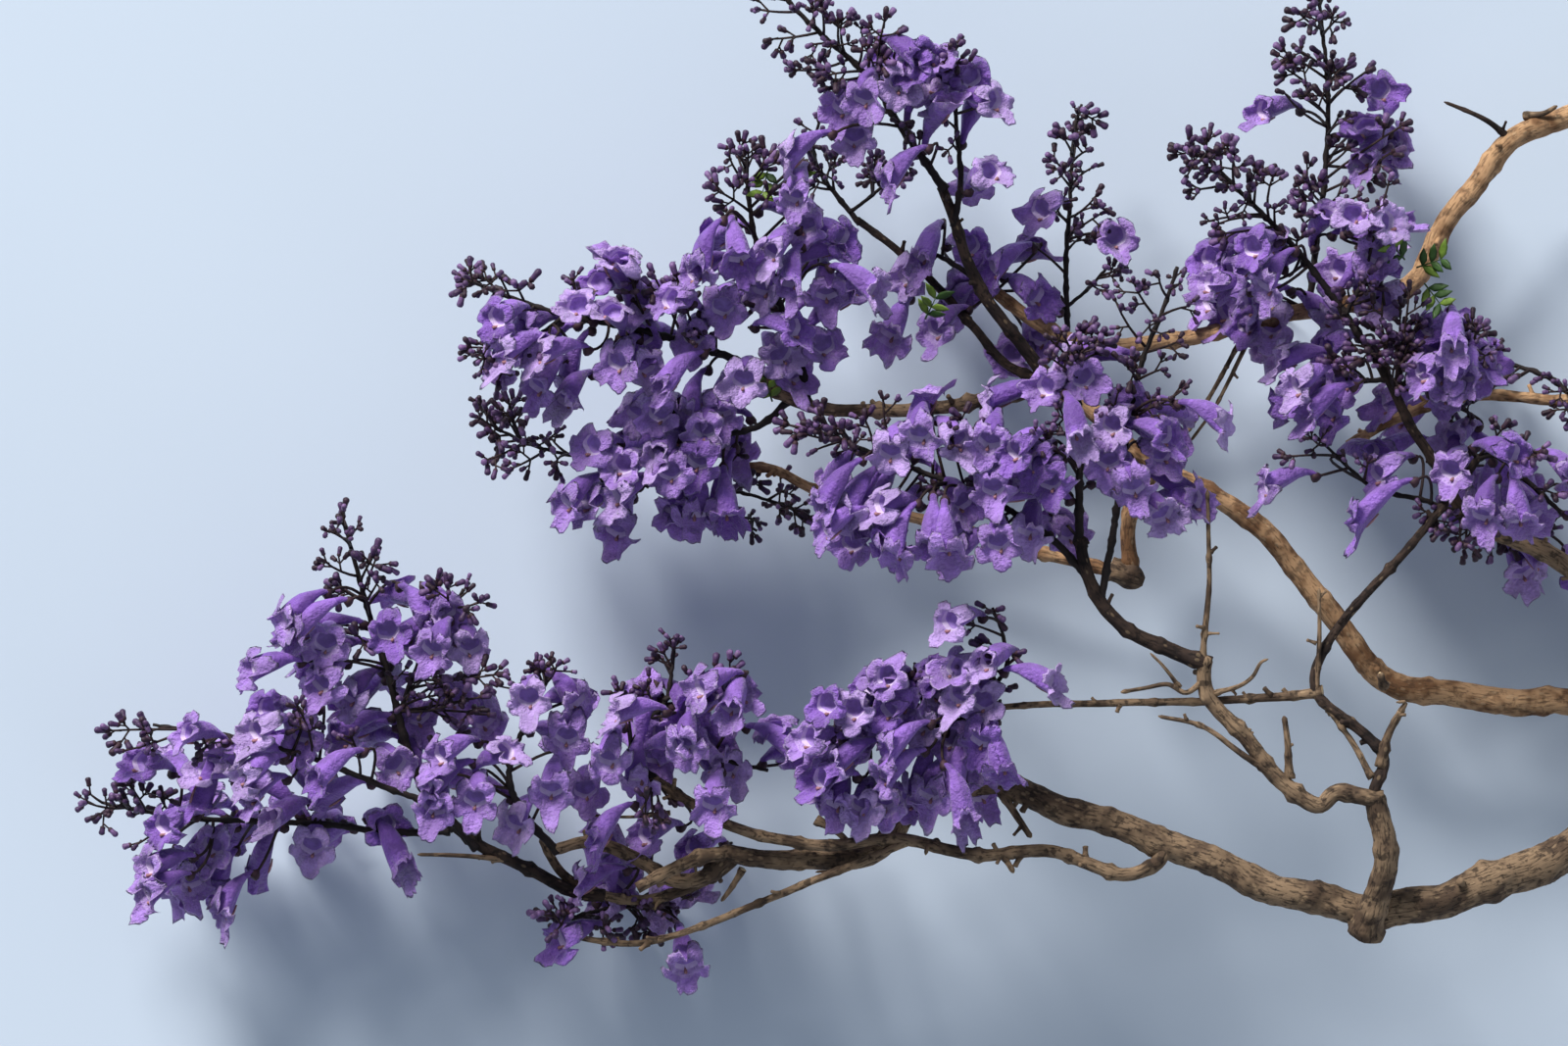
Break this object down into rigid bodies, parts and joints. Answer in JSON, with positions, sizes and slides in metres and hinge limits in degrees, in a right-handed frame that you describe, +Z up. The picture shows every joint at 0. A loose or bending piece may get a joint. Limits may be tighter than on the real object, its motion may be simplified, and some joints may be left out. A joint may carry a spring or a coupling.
{
  "type": "flowering jacaranda branch",
  "caption": "Cut jacaranda branch lying down: forked boughs and thin limbs that carry loose panicles of violet trumpet flowers and dark buds.",
  "frame": {"origin": "on the ground under the middle of the branch's bounding box", "axes": "+X along the branch to its sawn end, +Y across it towards the upper panicles, +Z up from the ground"},
  "size_m": [0.954, 0.561, 0.1993],
  "materials": {
    "grey_bark": "rough grey-brown bark",
    "golden_bark": "smooth golden-brown young bark",
    "dark_bark": "rough dark brown bark",
    "blossom": "soft satin petals"
  },
  "bodies": {
    "root": {"main_bough": "grey_bark", "forward_bough": "grey_bark", "front_stalk": "grey_bark", "centre_limb_lower": "grey_bark", "centre_limb_upper": "dark_bark", "centre_side_twig": "grey_bark", "upright_twig": "grey_bark", "right_thin_limb": "dark_bark", "right_spur": "grey_bark", "cross_twig": "grey_bark", "lower_limb": "grey_bark", "under_twig": "grey_bark", "tip_stub": "grey_bark", "tip_knobbed_limb": "grey_bark", "tip_curved_limb": "grey_bark", "left_limb": "dark_bark", "left_bare_twig": "grey_bark", "middle_limb_outer": "golden_bark", "middle_limb_inner": "golden_bark", "elbow_spur": "golden_bark", "low_limb": "golden_bark", "inner_left_limb": "grey_bark", "dark_stem": "dark_bark", "back_stem": "dark_bark", "right_limb": "grey_bark", "right_stem": "dark_bark", "back_limb": "golden_bark", "rising_limb": "golden_bark", "upper_limb_outer": "golden_bark", "upper_limb_inner": "golden_bark", "upper_spur": "dark_bark", "hanging_twig": "grey_bark", "left_panicle_upper": "blossom", "left_panicle_tip": "blossom", "left_panicle_middle": "blossom", "tip_panicle_left": "blossom", "tip_panicle_right": "blossom", "inner_panicle": "blossom", "under_panicle": "blossom", "upper_left_panicle": "blossom", "upper_left_panicle_low": "blossom", "upper_middle_panicle": "blossom", "top_panicle_left": "blossom", "top_panicle_right": "blossom", "back_panicle_left": "blossom", "back_panicle_middle": "blossom", "low_bud_panicle": "blossom", "centre_panicle_middle": "blossom", "centre_panicle_left": "blossom", "centre_panicle_right": "blossom", "back_spire": "blossom", "top_right_spire": "blossom", "right_panicle_top": "blossom", "right_panicle_inner": "blossom", "right_panicle_outer": "blossom", "right_edge_panicle": "blossom", "right_inner_sprig": "blossom", "back_right_panicle": "blossom", "back_low_panicle": "blossom"}
  },
  "joints": []
}
